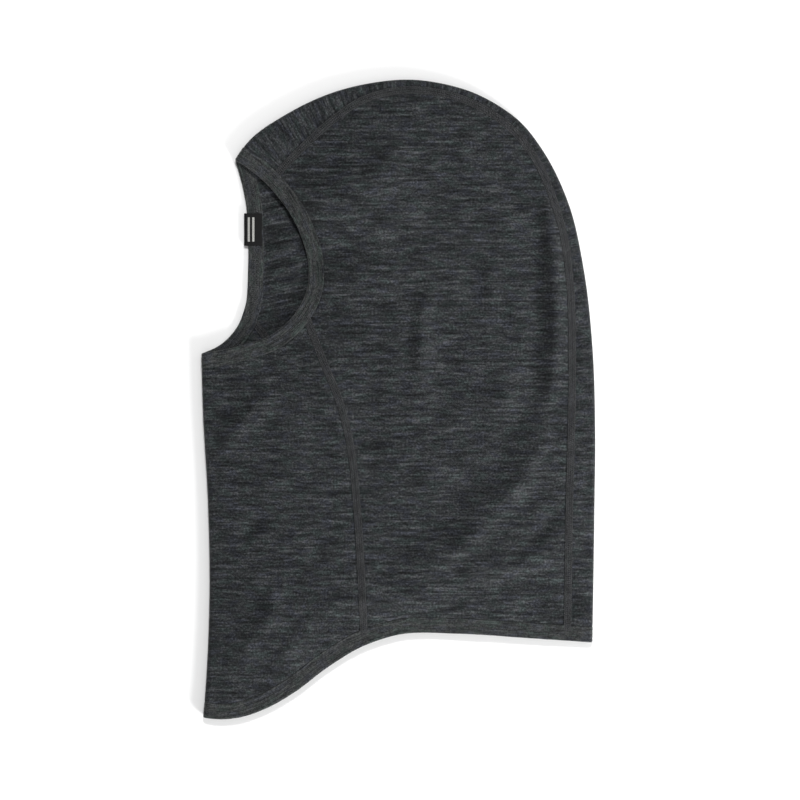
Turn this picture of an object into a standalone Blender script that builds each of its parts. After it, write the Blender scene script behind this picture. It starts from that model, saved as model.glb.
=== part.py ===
"""A knitted balaclava laid flat on its right side, face opening to the left, crown at the top.

The lower (right) half lies on the plane z = 0 and the upper (left) half lofts a little above it.
Both halves are joined round two soft folds: the crown fold, which runs from the forehead over the
crown and down the back of the neck, and the front fold, from the chin down to the chest.
+X is the back of the head, +Y the crown and +Z the wearer's left side.
"""
import math

import bmesh
import bpy
import numpy as np

MM = 0.001
OBJECT_NAME = "balaclava"

# Driving sizes, in metres.
GAP = 0.3 * MM                  # clearance between neighbouring pieces
BAND_GAP = 0.5 * MM             # the same round the edge bands, which twist over the folds
FABRIC = 0.9 * MM               # single jersey
BINDING = 1.7 * MM              # folded edge binding, two layers
THREAD = 1.2 * MM               # flatlock and coverstitch thread, with the fabric it holds
BINDING_WIDTH = 5.2 * MM
STITCH_WIDTH = 4.2 * MM
SEAM_WIDTH = 5.0 * MM
LABEL_LENGTH = 20.0 * MM
LABEL_WIDTH = 10.6 * MM
LABEL_TAPE = 0.4 * MM

FOLD_RADIUS = 3.2 * MM          # outer radius of the two folds
LOFT = 9.0 * MM                 # how far the upper half rises above the folds' height
LOFT_REACH = 45.0 * MM          # distance from a fold over which it rises
EDGE_LOFT = 0.35                # share of the loft left at the open edges
EDGE_REACH = 60.0 * MM

# Outlines in the plan of the laid-flat piece, in millimetres.
CROWN_FOLD = ((-101.4, 148.0), (-92.0, 160.6), (-71.0, 175.5), (-39.4, 190.3), (-17.7, 195.6),
              (7.8, 197.8), (28.8, 195.0), (45.0, 190.3), (59.8, 183.0), (75.5, 171.5),
              (90.0, 153.0), (104.5, 123.4), (115.0, 78.7), (120.0, 34.0), (121.8, -20.0),
              (121.3, -70.0), (120.0, -150.7))
FRONT_FOLD = ((-122.0, 28.5), (-121.1, -7.0), (-118.0, -62.6), (-117.0, -118.0),
              (-118.7, -167.0), (-121.0, -197.2))
HEM = ((120.0, -150.7), (75.0, -147.6), (35.0, -145.2), (1.0, -145.7), (-20.0, -152.0),
       (-45.0, -166.8), (-64.8, -181.7), (-82.0, -191.5), (-100.0, -197.4), (-121.0, -197.2))
NEAR_FACE_EDGE = ((-122.0, 28.5), (-98.0, 33.0), (-77.8, 40.3), (-64.2, 52.7), (-56.7, 67.6),
                  (-56.0, 84.0), (-61.7, 103.5), (-73.0, 123.0), (-87.0, 138.0), (-101.4, 148.0))
FAR_FACE_EDGE = ((-122.0, 28.5), (-110.0, 34.0), (-100.5, 44.0), (-95.2, 57.0), (-93.3, 80.0),
                 (-93.3, 102.0), (-94.6, 121.0), (-98.0, 137.0), (-101.4, 148.0))
CROWN_SEAM_LEFT = ((-81.5, 132.0), (-60.5, 154.4), (-40.0, 173.0), (-22.0, 185.0), (0.0, 190.4),
                   (26.0, 188.6), (43.0, 183.4), (59.3, 174.8), (75.0, 162.0), (87.7, 143.0),
                   (95.8, 123.4), (102.6, 98.6), (106.3, 67.6), (107.4, 30.0), (107.0, -13.0),
                   (105.7, -62.6), (104.5, -149.7))
CROWN_SEAM_RIGHT = ((-97.6, 135.0), (-84.0, 146.0), (-62.0, 155.5), (-38.0, 163.5),
                    (-12.0, 169.0), (12.0, 170.0), (36.0, 164.5), (57.0, 152.0), (74.0, 134.0),
                    (86.0, 112.0), (94.0, 88.0), (99.0, 60.0), (101.5, 30.0), (102.0, -13.0),
                    (102.0, -70.0), (102.0, -149.5))
BIB_SEAM_LEFT = ((-60.4, 58.6), (-56.0, 48.0), (-48.0, 27.0), (-36.0, -3.0), (-29.5, -30.0),
                 (-26.0, -62.0), (-23.5, -100.0), (-21.3, -151.4))
BIB_SEAM_RIGHT = ((-95.6, 55.0), (-82.0, 38.0), (-64.0, 10.0), (-50.0, -20.0), (-42.0, -55.0),
                  (-36.0, -100.0), (-31.0, -158.0))
LABEL_MIDDLE = 105.0 * MM       # height of the label's middle along the far face edge
LABEL_LEFT = -95.2 * MM         # where the label's fold lies

CURVE_STEPS = 10                # straight pieces between two outline points
FOLD_BLEND = 14.0 * MM          # length over which an edge band turns to run along a fold
FOLD_CROWDING = 1.6             # how much closer a panel's rows lie near its fold


class Line:
    """A smooth line in the plan, read by its length; the cloth lies to its right."""

    def __init__(self, points):
        self.points = np.asarray(points, dtype=float)
        steps = np.linalg.norm(np.diff(self.points, axis=0), axis=1)
        self.reach = np.concatenate(([0.0], np.cumsum(steps)))
        self.length = self.reach[-1]

    def at(self, fraction):
        distance = np.clip(fraction, 0.0, 1.0) * self.length
        return np.array([np.interp(distance, self.reach, self.points[:, axis]) for axis in (0, 1)])

    def right(self, fraction):
        step = 0.004
        along = self.at(min(fraction + step, 1.0)) - self.at(max(fraction - step, 0.0))
        along /= np.linalg.norm(along)
        return np.array([along[1], -along[0]])

    def part(self, start, end):
        count = max(4, int(abs(end - start) * len(self.points)))
        return Line([self.at(start + (end - start) * k / count) for k in range(count + 1)])

    def inset(self, distance):
        fractions = self.reach / self.length
        return Line([p + self.right(f) * distance for p, f in zip(self.points, fractions)])


def smooth_line(outline):
    """A smooth curve through an outline's points."""
    points = np.array(outline) * MM
    chords = np.diff(points, axis=0)
    gaps = np.linalg.norm(chords, axis=1)[:, None]
    slopes = chords / gaps
    middle = (slopes[:-1] * gaps[1:] + slopes[1:] * gaps[:-1]) / (gaps[:-1] + gaps[1:])
    tangents = np.vstack((2 * slopes[0] - middle[0], middle, 2 * slopes[-1] - middle[-1]))
    curve = []
    for k, gap in enumerate(gaps[:, 0]):
        for step in range(CURVE_STEPS):
            s = step / CURVE_STEPS
            curve.append((2 * s**3 - 3 * s**2 + 1) * points[k]
                         + (s**3 - 2 * s**2 + s) * gap * tangents[k]
                         + (3 * s**2 - 2 * s**3) * points[k + 1]
                         + (s**3 - s**2) * gap * tangents[k + 1])
    curve.append(points[-1])
    return Line(curve)


def crossing(first, second):
    """The fractions along two lines at which they cross."""
    for i in range(len(first.points) - 1):
        p, r = first.points[i], first.points[i + 1] - first.points[i]
        for j in range(len(second.points) - 1):
            q, s = second.points[j], second.points[j + 1] - second.points[j]
            cross = r[0] * s[1] - r[1] * s[0]
            if abs(cross) < 1e-18:
                continue
            t = ((q - p)[0] * s[1] - (q - p)[1] * s[0]) / cross
            u = ((q - p)[0] * r[1] - (q - p)[1] * r[0]) / cross
            if 0.0 <= t <= 1.0 and 0.0 <= u <= 1.0:
                here = first.reach[i] + t * (first.reach[i + 1] - first.reach[i])
                there = second.reach[j] + u * (second.reach[j + 1] - second.reach[j])
                return here / first.length, there / second.length
    raise ValueError("two lines of the pattern do not cross")


crown_fold = smooth_line(CROWN_FOLD)
front_fold = smooth_line(FRONT_FOLD)


def ease(value):
    value = min(max(value, 0.0), 1.0)
    return value * value * (3.0 - 2.0 * value)


def distance_to(line, point):
    """The shortest distance in the plan from a point to a line."""
    starts, ends = line.points[:-1], line.points[1:]
    along = ends - starts
    share = np.clip(((point - starts) * along).sum(1) / (along * along).sum(1), 0.0, 1.0)
    return np.linalg.norm(point - starts - along * share[:, None], axis=1).min()


class Edge:
    """An open edge of the cloth that starts on one fold and ends on another."""

    def __init__(self, outline, start_fold, end_fold, from_start):
        self.line = smooth_line(outline)
        self.folds = (start_fold, end_fold)
        self.from_start = from_start

    def fold_point(self, end, distance):
        fold, forward = self.folds[end], self.from_start[end]
        share = distance / fold.length
        return fold.at(share if forward else 1.0 - share)

    def point(self, fraction, distance):
        """A point set in from the edge, which runs along the fold at either end."""
        plain = self.line.at(fraction) + self.line.right(fraction) * distance
        for end, from_end in ((0, fraction), (1, 1.0 - fraction)):
            share = 1.0 - ease(from_end * self.line.length / FOLD_BLEND)
            if share > 0.0:
                turned = self.line.at(fraction) + self.fold_point(end, distance) - self.line.at(end)
                plain = plain * (1.0 - share) + turned * share
        return plain

    def inset(self, distance):
        count = len(self.line.points) - 1
        return Line([self.point(k / count, distance) for k in range(count + 1)])


near_edge = Edge(NEAR_FACE_EDGE, front_fold, crown_fold, (True, True))
far_edge = Edge(FAR_FACE_EDGE, front_fold, crown_fold, (True, True))
hem_edge = Edge(HEM, crown_fold, front_fold, (False, False))


def height(point, upper):
    """The height of the cloth's outer face above the surface that it lies on."""
    from_fold = min(distance_to(crown_fold, point), distance_to(front_fold, point))
    turn = max(0.0, 1.0 - from_fold / FOLD_RADIUS)
    rise = FOLD_RADIUS * math.sqrt(1.0 - turn * turn)
    if not upper:
        return FOLD_RADIUS - rise
    inside = max(0.0, from_fold - FOLD_RADIUS)
    loft = LOFT * (1.0 - math.exp(-inside / LOFT_REACH))
    from_edge = min(distance_to(near_edge.line, point), distance_to(hem_edge.line, point))
    loft *= EDGE_LOFT + (1.0 - EDGE_LOFT) * ease(from_edge / EDGE_REACH)
    return FOLD_RADIUS + rise + loft


def blended(side, u, v):
    """A point inside four boundary lines: start and end along v, first and last along u."""
    start, end, first, last = side
    along = start.at(u) * (1.0 - v) + end.at(u) * v
    across = first.at(v) * (1.0 - u) + last.at(v) * u
    corners = ((start.at(0) * (1.0 - u) + start.at(1) * u) * (1.0 - v)
               + (end.at(0) * (1.0 - u) + end.at(1) * u) * v)
    return along + across - corners


def raised(point, upper):
    return (point[0], point[1], height(point, upper))


def mesh_from_grid(name, u_count, v_count, place):
    """A grid whose points are set by place(u, v), with its top facing up."""
    bm = bmesh.new()
    bmesh.ops.create_grid(bm, x_segments=u_count, y_segments=v_count, size=0.5)
    for vert in bm.verts:
        vert.co = place(vert.co.x + 0.5, vert.co.y + 0.5)
    bmesh.ops.remove_doubles(bm, verts=bm.verts, dist=1e-6)
    bm.normal_update()
    highest = max(bm.faces, key=lambda face: face.calc_center_median().z)
    if highest.normal.z < 0.0:
        bmesh.ops.reverse_faces(bm, faces=bm.faces)
    mesh = bpy.data.meshes.new(name)
    bm.to_mesh(mesh)
    bm.free()
    return mesh


def add_part(name, mesh, thickness, material, facing_down=False):
    """One named piece: an open surface given its thickness inwards."""
    if facing_down:
        mesh.flip_normals()
    part = bpy.data.objects.new(name, mesh)
    parts.objects.link(part)
    part.data.materials.append(material)
    shell = part.modifiers.new("thickness", "SOLIDIFY")
    shell.thickness = thickness
    shell.offset = -1.0
    shell.use_even_offset = True
    return part


def make_material(name, colour, roughness):
    material = bpy.data.materials.new(name)
    material.use_nodes = True
    shader = material.node_tree.nodes["Principled BSDF"]
    shader.inputs["Base Color"].default_value = (*colour, 1.0)
    shader.inputs["Roughness"].default_value = roughness
    return material


FACE_INSET = BINDING_WIDTH + STITCH_WIDTH + 2 * BAND_GAP
SEAM_HALF = SEAM_WIDTH / 2
PANEL_OFF = SEAM_HALF + GAP


def face_inset(upper):
    return (near_edge if upper else far_edge).inset(FACE_INSET)


def hem_inset():
    return hem_edge.inset(FACE_INSET)


def seam_side(seam, offset, upper):
    """A seam's line moved sideways, with where it meets the face and hem bands."""
    line = smooth_line(seam).inset(offset)
    at_face, on_face = crossing(line, face_inset(upper))
    at_hem, on_hem = crossing(line, hem_inset())
    return line.part(at_face, at_hem), on_face, on_hem


def make_side_panel(name, crown_seam, bib_seam, upper, u_count, v_count):
    """The large panel over one side of the head and neck."""
    bib_side, face_bib, hem_bib = seam_side(bib_seam, -PANEL_OFF, upper)
    crown_side, face_crown, hem_crown = seam_side(crown_seam, PANEL_OFF, upper)
    side = (bib_side, crown_side,
            face_inset(upper).part(face_bib, face_crown), hem_inset().part(hem_bib, hem_crown))
    mesh = mesh_from_grid(name, u_count, v_count,
                          lambda u, v: raised(blended(side, u, v), upper))
    return add_part(name, mesh, FABRIC, jersey, facing_down=not upper)


def make_folded_panel(name, fold, fold_ends, seams, offset, fold_at_face, u_count, v_count):
    """A panel that wraps round a fold, from the lower half's seam to the upper half's."""
    fold_line = fold.part(*fold_ends)
    halves = []
    for seam, upper in zip(seams, (False, True)):
        seam_line, on_face, on_hem = seam_side(seam, offset, upper)
        halves.append((fold_line, seam_line,
                       face_inset(upper).part(fold_at_face, on_face),
                       hem_inset().part(1.0 - fold_at_face, on_hem)))

    def place(u, v):
        across = abs(2.0 * v - 1.0)
        upper = v > 0.5
        point = blended(halves[upper], u, across**FOLD_CROWDING)
        if across < 1e-6:
            return (point[0], point[1], FOLD_RADIUS)
        return raised(point, upper)

    return add_part(name, mesh_from_grid(name, u_count, v_count, place), FABRIC, jersey)


def make_flatlock_seam(name, seam, upper, u_count):
    """A flat band of covering thread along a butted seam."""
    first, face_first, hem_first = seam_side(seam, -SEAM_HALF, upper)
    last, face_last, hem_last = seam_side(seam, SEAM_HALF, upper)
    side = (first, last,
            face_inset(upper).part(face_first, face_last), hem_inset().part(hem_first, hem_last))
    mesh = mesh_from_grid(name, u_count, 1, lambda u, v: raised(blended(side, u, v), upper))
    return add_part(name, mesh, THREAD, thread, facing_down=not upper)


def label_step(point, upper):
    """How far the far edge's band is lifted to make room for the label under it."""
    if upper or point[0] > 0.0:
        return 0.0
    from_label = abs(point[1] - LABEL_MIDDLE) - LABEL_LENGTH / 2 - 1.0 * MM
    return (LABEL_TAPE + GAP) * (1.0 - ease(from_label / (5.0 * MM)))


def make_edge_band(name, upper_edge, lower_edge, from_edge, width, thickness, material, count):
    """A closed band along the upper half's edge and back along the lower half's."""

    def place(u, v):
        upper = u < 0.5
        edge = upper_edge if upper else lower_edge
        share = 2.0 * u if upper else 2.0 - 2.0 * u
        along = 0.5 - 0.5 * math.cos(math.pi * share)
        point = edge.point(along, from_edge + v * width)
        if min(along, 1.0 - along) < 1e-6:
            return (point[0], point[1], FOLD_RADIUS)
        x, y, z = raised(point, upper)
        return (x, y, z + (label_step(point, upper) if edge is far_edge else 0.0))

    return add_part(name, mesh_from_grid(name, 2 * count, 1, place), thickness, material)


def make_edge_label(u_count):
    """A plain woven tab folded over the far face edge, lying above and below its band."""
    lower = LABEL_TAPE
    upper = LABEL_TAPE + GAP + BINDING + GAP
    radius = (upper - lower) / 2
    flat = LABEL_WIDTH - radius
    turn = math.pi * radius
    total = 2 * flat + turn
    left = LABEL_LEFT + radius

    def place(u, v):
        along = u * total
        y = LABEL_MIDDLE + (v - 0.5) * LABEL_LENGTH
        if along < flat:
            return (left + flat - along, y, lower)
        if along < flat + turn:
            angle = (along - flat) / radius
            return (left - radius * math.sin(angle), y, lower + radius - radius * math.cos(angle))
        return (left + along - flat - turn, y, upper)

    return add_part("edge_label", mesh_from_grid("edge_label", u_count, 2, place),
                    -LABEL_TAPE, woven_tape)


def build():
    face_end = (FACE_INSET / crown_fold.length, 1.0 - FACE_INSET / crown_fold.length)
    chin_end = (FACE_INSET / front_fold.length, 1.0 - FACE_INSET / front_fold.length)
    make_side_panel("side_panel_left", CROWN_SEAM_LEFT, BIB_SEAM_LEFT, True, 30, 14)
    make_side_panel("side_panel_right", CROWN_SEAM_RIGHT, BIB_SEAM_RIGHT, False, 26, 8)
    make_folded_panel("crown_strip", crown_fold, face_end,
                      (CROWN_SEAM_RIGHT, CROWN_SEAM_LEFT), -PANEL_OFF, 1.0, 44, 12)
    make_folded_panel("bib_panel", front_fold, chin_end,
                      (BIB_SEAM_RIGHT, BIB_SEAM_LEFT), PANEL_OFF, 0.0, 14, 24)
    make_flatlock_seam("crown_seam_left", CROWN_SEAM_LEFT, True, 44)
    make_flatlock_seam("crown_seam_right", CROWN_SEAM_RIGHT, False, 40)
    make_flatlock_seam("bib_seam_left", BIB_SEAM_LEFT, True, 18)
    make_flatlock_seam("bib_seam_right", BIB_SEAM_RIGHT, False, 18)
    stitch_from = BINDING_WIDTH + BAND_GAP
    make_edge_band("face_binding", near_edge, far_edge, 0.0, BINDING_WIDTH, BINDING, binding, 28)
    make_edge_band("face_coverstitch", near_edge, far_edge, stitch_from, STITCH_WIDTH, THREAD,
                   thread, 28)
    make_edge_band("hem_binding", hem_edge, hem_edge, 0.0, BINDING_WIDTH, BINDING, binding, 28)
    make_edge_band("hem_coverstitch", hem_edge, hem_edge, stitch_from, STITCH_WIDTH, THREAD,
                   thread, 28)
    make_edge_label(16)


for old in list(bpy.data.objects):
    bpy.data.objects.remove(old, do_unlink=True)
parts = bpy.data.collections.new(OBJECT_NAME)
bpy.context.scene.collection.children.link(parts)
jersey = make_material("charcoal_heather_jersey", (0.043, 0.045, 0.048), 0.95)
binding = make_material("charcoal_binding", (0.050, 0.049, 0.047), 0.9)
thread = make_material("grey_thread", (0.045, 0.046, 0.048), 0.8)
woven_tape = make_material("black_woven_tape", (0.008, 0.008, 0.009), 0.7)
build()
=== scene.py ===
"""The looks of a charcoal wool balaclava that lies flat on its right side.

Every piece of cloth, thread and tape is built here on one shared surface: the laid-flat cloth,
which turns round a fold along the crown and back and another down the front.
"""
import math

import bmesh
import bpy
import numpy as np
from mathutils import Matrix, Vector, noise


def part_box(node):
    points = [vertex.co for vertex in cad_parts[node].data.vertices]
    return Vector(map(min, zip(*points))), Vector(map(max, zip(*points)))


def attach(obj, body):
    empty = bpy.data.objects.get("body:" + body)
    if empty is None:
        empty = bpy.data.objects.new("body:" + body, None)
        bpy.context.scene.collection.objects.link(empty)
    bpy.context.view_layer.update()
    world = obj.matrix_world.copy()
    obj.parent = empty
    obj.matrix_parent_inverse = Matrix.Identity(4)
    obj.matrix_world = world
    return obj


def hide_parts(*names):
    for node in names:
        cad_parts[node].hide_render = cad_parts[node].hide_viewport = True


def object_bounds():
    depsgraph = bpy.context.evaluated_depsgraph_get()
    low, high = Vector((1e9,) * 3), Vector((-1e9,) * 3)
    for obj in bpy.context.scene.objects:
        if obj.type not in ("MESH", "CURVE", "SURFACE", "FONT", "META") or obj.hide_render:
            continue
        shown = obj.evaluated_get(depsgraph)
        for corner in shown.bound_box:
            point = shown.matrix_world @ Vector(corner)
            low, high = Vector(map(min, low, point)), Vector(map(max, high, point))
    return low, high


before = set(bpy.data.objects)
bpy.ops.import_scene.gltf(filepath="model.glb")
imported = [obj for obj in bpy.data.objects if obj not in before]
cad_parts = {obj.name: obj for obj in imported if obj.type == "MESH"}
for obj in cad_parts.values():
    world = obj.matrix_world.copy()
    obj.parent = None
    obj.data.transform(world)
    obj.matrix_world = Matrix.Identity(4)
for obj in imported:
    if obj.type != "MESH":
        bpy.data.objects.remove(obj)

MM = 0.001
cad_low, cad_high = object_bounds()

# ---------------------------------------------------------------------------------------------
# Pattern: the outlines and sizes of the CAD model, in millimetres in plan.
# ---------------------------------------------------------------------------------------------
CROWN_FOLD = ((-101.4, 148.0), (-92.0, 160.6), (-71.0, 175.5), (-39.4, 190.3), (-17.7, 195.6),
              (7.8, 197.8), (28.8, 195.0), (45.0, 190.3), (59.8, 183.0), (75.5, 171.5),
              (90.0, 153.0), (104.5, 123.4), (115.0, 78.7), (120.0, 34.0), (121.8, -20.0),
              (121.3, -70.0), (120.0, -150.7))
FRONT_FOLD = ((-122.0, 28.5), (-121.1, -7.0), (-118.0, -62.6), (-117.0, -118.0),
              (-118.7, -167.0), (-121.0, -197.2))
HEM = ((120.0, -150.7), (75.0, -147.6), (35.0, -145.2), (1.0, -145.7), (-20.0, -152.0),
       (-45.0, -166.8), (-64.8, -181.7), (-82.0, -191.5), (-100.0, -197.4), (-121.0, -197.2))
NEAR_FACE_EDGE = ((-122.0, 28.5), (-98.0, 33.0), (-77.8, 40.3), (-64.2, 52.7), (-56.7, 67.6),
                  (-56.0, 84.0), (-61.7, 103.5), (-73.0, 123.0), (-87.0, 138.0), (-101.4, 148.0))
FAR_FACE_EDGE = ((-122.0, 28.5), (-110.0, 34.0), (-100.5, 44.0), (-95.2, 57.0), (-93.3, 80.0),
                 (-93.3, 102.0), (-94.6, 121.0), (-98.0, 137.0), (-101.4, 148.0))
CROWN_SEAM_LEFT = ((-81.5, 132.0), (-60.5, 154.4), (-40.0, 173.0), (-22.0, 185.0), (0.0, 190.9),
                   (26.0, 189.4), (43.0, 184.2), (59.5, 175.4), (75.0, 162.0), (87.7, 143.0),
                   (95.8, 123.4), (102.6, 98.6), (106.3, 67.6), (107.4, 30.0), (107.0, -13.0),
                   (105.7, -62.6), (104.5, -149.7))
CROWN_SEAM_RIGHT = ((-97.6, 135.0), (-84.0, 146.0), (-62.0, 155.5), (-38.0, 163.5),
                    (-12.0, 169.0), (12.0, 170.0), (36.0, 164.5), (57.0, 152.0), (74.0, 134.0),
                    (86.0, 112.0), (94.0, 88.0), (99.0, 60.0), (101.5, 30.0), (102.0, -13.0),
                    (102.0, -70.0), (102.0, -149.5))
BIB_SEAM_LEFT = ((-60.4, 58.6), (-56.0, 48.0), (-48.0, 27.0), (-36.0, -3.0), (-29.5, -30.0),
                 (-26.0, -62.0), (-23.5, -100.0), (-21.3, -151.4))
BIB_SEAM_RIGHT = ((-95.6, 55.0), (-82.0, 38.0), (-64.0, 10.0), (-50.0, -20.0), (-42.0, -55.0),
                  (-36.0, -100.0), (-31.0, -158.0))

FABRIC = 0.85 * MM              # jersey
BAND_WIDTH = 9.6 * MM           # folded edge binding
BAND_THICK = 1.9 * MM
BAND_LIFT = 0.12 * MM           # how far a binding stands proud of the cloth
BAND_TUCK = 3.4 * MM            # how far a panel runs in under its edge binding
BAND_GROOVE = 0.2 * MM          # how deep a needle row draws in a binding's outer leaf
BAND_GROOVE_INSIDE = 0.16 * MM
BAND_GROOVE_WIDTH = 0.42 * MM
BAND_PUCKER = 0.14 * MM         # how far the cloth between the stitches swells or sinks
BAND_SPACING = 1.0 * MM         # of a binding's faces along it
TUCK_DEPTH = 0.55 * MM          # how far a panel goes in under its binding
SEAM_WIDTH = 5.0 * MM
SEAM_THROUGH = 1.2 * MM         # a flatlock seam, from its outer to its inner face
SEAM_GAP = 0.15 * MM            # from a seam's middle to each panel's edge
SEAM_SPACING = 0.9 * MM         # of a seam bed's faces along it
SEAM_ROWS = tuple((0.11 + 0.26 * k) * SEAM_WIDTH for k in range(4))     # its needle rows
SEAM_LOOPER_INSET = 0.3 * MM    # from a seam's edge to where its loopers turn
STITCH = 2.4 * MM
THREAD = 0.15 * MM              # radius of the sewing thread
LOOPER_THREAD = 0.9 * THREAD
# Knit columns and rows are drawn about twice as coarse as a fine jersey's, so that they show.
WALE = 1.3 * MM
COURSE = 1.05 * MM
KNIT_WANDER = 5.0 * MM          # size of the patches over which the columns sway
LOWER_GRAIN_SLANT = 12.0        # degrees by which the right panel's rows turn
TAPE_RIB = 0.5 * MM
TAPE_THICK = 0.4 * MM
TAPE_BARS = (1.4 * MM, 4.2 * MM)                 # from the tab's fold
TAPE_BAR_WIDTH = 1.3 * MM
TAPE_BAR_MIDDLE = 10.0 * MM
TAPE_BAR_LENGTH = 15.0 * MM
COLOUR_A, COLOUR_B, COLOUR_OUT = 6, 7, 2         # a Mix node's colour sockets

LOWER_REST = 0.45 * MM          # the lower cloth rests on its own seam threads
UPPER_REST = 6.4 * MM           # height of the upper cloth just inside a fold
FOLD_RADIUS = (UPPER_REST - LOWER_REST) / 2
LOFT = 8.6 * MM
LOFT_REACH = 45.0 * MM
FACE_EDGE = (0.20, 46.0 * MM)   # share of the loft left at the face edge, and how far in it is whole
HEM_EDGE = (0.15, 44.0 * MM)
FOLD_BLEND = 14.0 * MM          # over which an open edge turns to run along a fold
FOLD_QUIET = (1.0 * MM, 11.0 * MM)               # from the fold: no creases, and over what they grow
LABEL_LIFT = 0.35 * MM          # how far the far edge is lifted over the tab
LABEL_LIFT_REACH = 5.0 * MM
CURVE_STEPS = 12
RIBBON_STEPS = 1200             # fine steps that find a ribbon's length
RIBBON_CELL = 0.6 * MM          # spacing of a ribbon's table
RIBBON_ROWS = 13
RELIEF_CELL = 1.25 * MM         # spacing of the table of soft folds
STITCH_ROWS = (2.4 * MM, 4.6 * MM, 6.8 * MM)     # needle rows, from the folded edge

# Soft folds of each half: height (or depth), half-width, and path, in millimetres. A pair of
# half-widths is for a lopsided fold, left and right of its path.
UPPER_CREASES = (
    (4.6, 5.5, ((84, 142), (91, 120), (95, 98), (97, 70), (97, 34), (95, 6), (91, -16))),
    (5.0, (7.0, 13.0), ((92, -8), (84, -34), (71, -56), (56, -74), (38, -91), (18, -104), (0, -112))),
    (-2.4, 7.0, ((79, 114), (84, 90), (85, 60), (84, 30), (80, 6), (73, -14), (62, -34))),
    (4.2, 19.0, ((-66, 112), (-42, 117), (-20, 125), (-2, 138), (8, 152))),
    (3.8, 10.0, ((-72, 121), (-50, 125), (-30, 130), (-14, 140), (-2, 151), (6, 160))),
    (3.0, 7.0, ((-30, 121), (-14, 116), (2, 108), (16, 102))),
    (-2.2, 4.0, ((10, 113), (26, 105), (42, 95), (54, 86))),
    (-2.3, 4.0, ((38, 114), (49, 105), (61, 92))),
    (1.8, 5.0, ((22, 114), (36, 105), (50, 96))),
    (3.8, 10.0, ((-54, 74), (-28, 74), (2, 76))),
    (2.6, 6.0, ((6, 92), (20, 84), (36, 75), (50, 66))),
    (3.6, 5.5, ((22, 72), (16, 58), (14, 42), (14, 24), (12, 8))),
    (-2.2, 4.4, ((20, 69), (30, 58), (42, 45))),
    (2.2, 5.0, ((54, 86), (57, 68), (56, 50))),
    (2.3, 6.0, ((42, -4), (62, -1), (84, 6))),
    (3.4, 6.0, ((-74, 6), (-90, -7), (-101, -19), (-108, -36))),
    (-2.2, 4.0, ((-72, -70), (-86, -76), (-96, -88))),
    (3.4, 8.0, ((-56, -129), (-28, -126), (0, -123), (22, -117), (36, -110))),
    (5.4, (6.0, 18.0), ((104, -92), (82, -99), (58, -104), (34, -107))),
    (-1.7, 4.0, ((104, -66), (90, -80), (76, -94), (62, -104))),
    (2.8, 6.0, ((-72, -122), (-86, -142), (-100, -164))),
    (2.4, 6.0, ((-50, -140), (-66, -153), (-82, -170))),
    (1.8, 5.0, ((44, 168), (40, 152), (42, 138))),
    (-2.2, 6.0, ((56, 142), (67, 130), (74, 114))),
    (1.7, 7.0, ((-24, -28), (8, -34), (40, -30))),
    (1.7, 6.0, ((-96, -50), (-84, -54), (-70, -48))),
)
LOWER_CREASES = (
    (3.0, 13.0, ((-66, 112), (-62, 96), (-60, 78), (-64, 62), (-76, 50))),
    (2.3, 4.2, ((-84, 89), (-70, 95), (-58, 100))),
    (1.6, 3.8, ((-82, 78), (-70, 80), (-58, 84))),
    (1.3, 3.4, ((-84, 67), (-72, 71), (-57, 76))),
    (1.6, 5.0, ((-84, 112), (-76, 112), (-68, 118))),
    (1.2, 4.0, ((-84, 50), (-74, 56), (-62, 62))),
)


# ---------------------------------------------------------------------------------------------
# Lines and surface
# ---------------------------------------------------------------------------------------------
def ease(value):
    value = np.clip(value, 0.0, 1.0)
    return value * value * (3.0 - 2.0 * value)


class Line:
    """A smooth line in plan, read by its length."""

    def __init__(self, points):
        self.points = np.asarray(points, dtype=float)
        steps = np.linalg.norm(np.diff(self.points, axis=0), axis=1)
        self.reach = np.concatenate(([0.0], np.cumsum(steps)))
        self.length = self.reach[-1]

    def at(self, fraction):
        distance = np.clip(fraction, 0.0, 1.0) * self.length
        return np.stack([np.interp(distance, self.reach, self.points[:, k]) for k in (0, 1)], -1)

    def right(self, fraction):
        """The direction square to the line, on its right-hand side."""
        step = 0.004
        along = self.at(np.asarray(fraction) + step) - self.at(np.asarray(fraction) - step)
        along /= np.linalg.norm(along, axis=-1, keepdims=True)
        return np.stack((along[..., 1], -along[..., 0]), -1)

    def part(self, start, end):
        count = max(8, int(abs(end - start) * len(self.points)))
        return Line(self.at(np.linspace(start, end, count + 1)))

    def inset(self, distance):
        fractions = self.reach / self.length
        return Line(self.points + self.right(fractions) * distance)


def smooth_line(outline):
    """A smooth curve through an outline's points."""
    points = np.array(outline, dtype=float) * MM
    chords = np.diff(points, axis=0)
    gaps = np.linalg.norm(chords, axis=1)[:, None]
    slopes = chords / gaps
    middle = (slopes[:-1] * gaps[1:] + slopes[1:] * gaps[:-1]) / (gaps[:-1] + gaps[1:])
    tangents = np.vstack((2 * slopes[0] - middle[0], middle, 2 * slopes[-1] - middle[-1]))
    s = (np.arange(CURVE_STEPS) / CURVE_STEPS)[:, None]
    curve = [(2 * s**3 - 3 * s**2 + 1) * points[k] + (s**3 - 2 * s**2 + s) * gap * tangents[k]
             + (3 * s**2 - 2 * s**3) * points[k + 1] + (s**3 - s**2) * gap * tangents[k + 1]
             for k, gap in enumerate(gaps[:, 0])]
    return Line(np.vstack(curve + [points[-1:]]))


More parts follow.
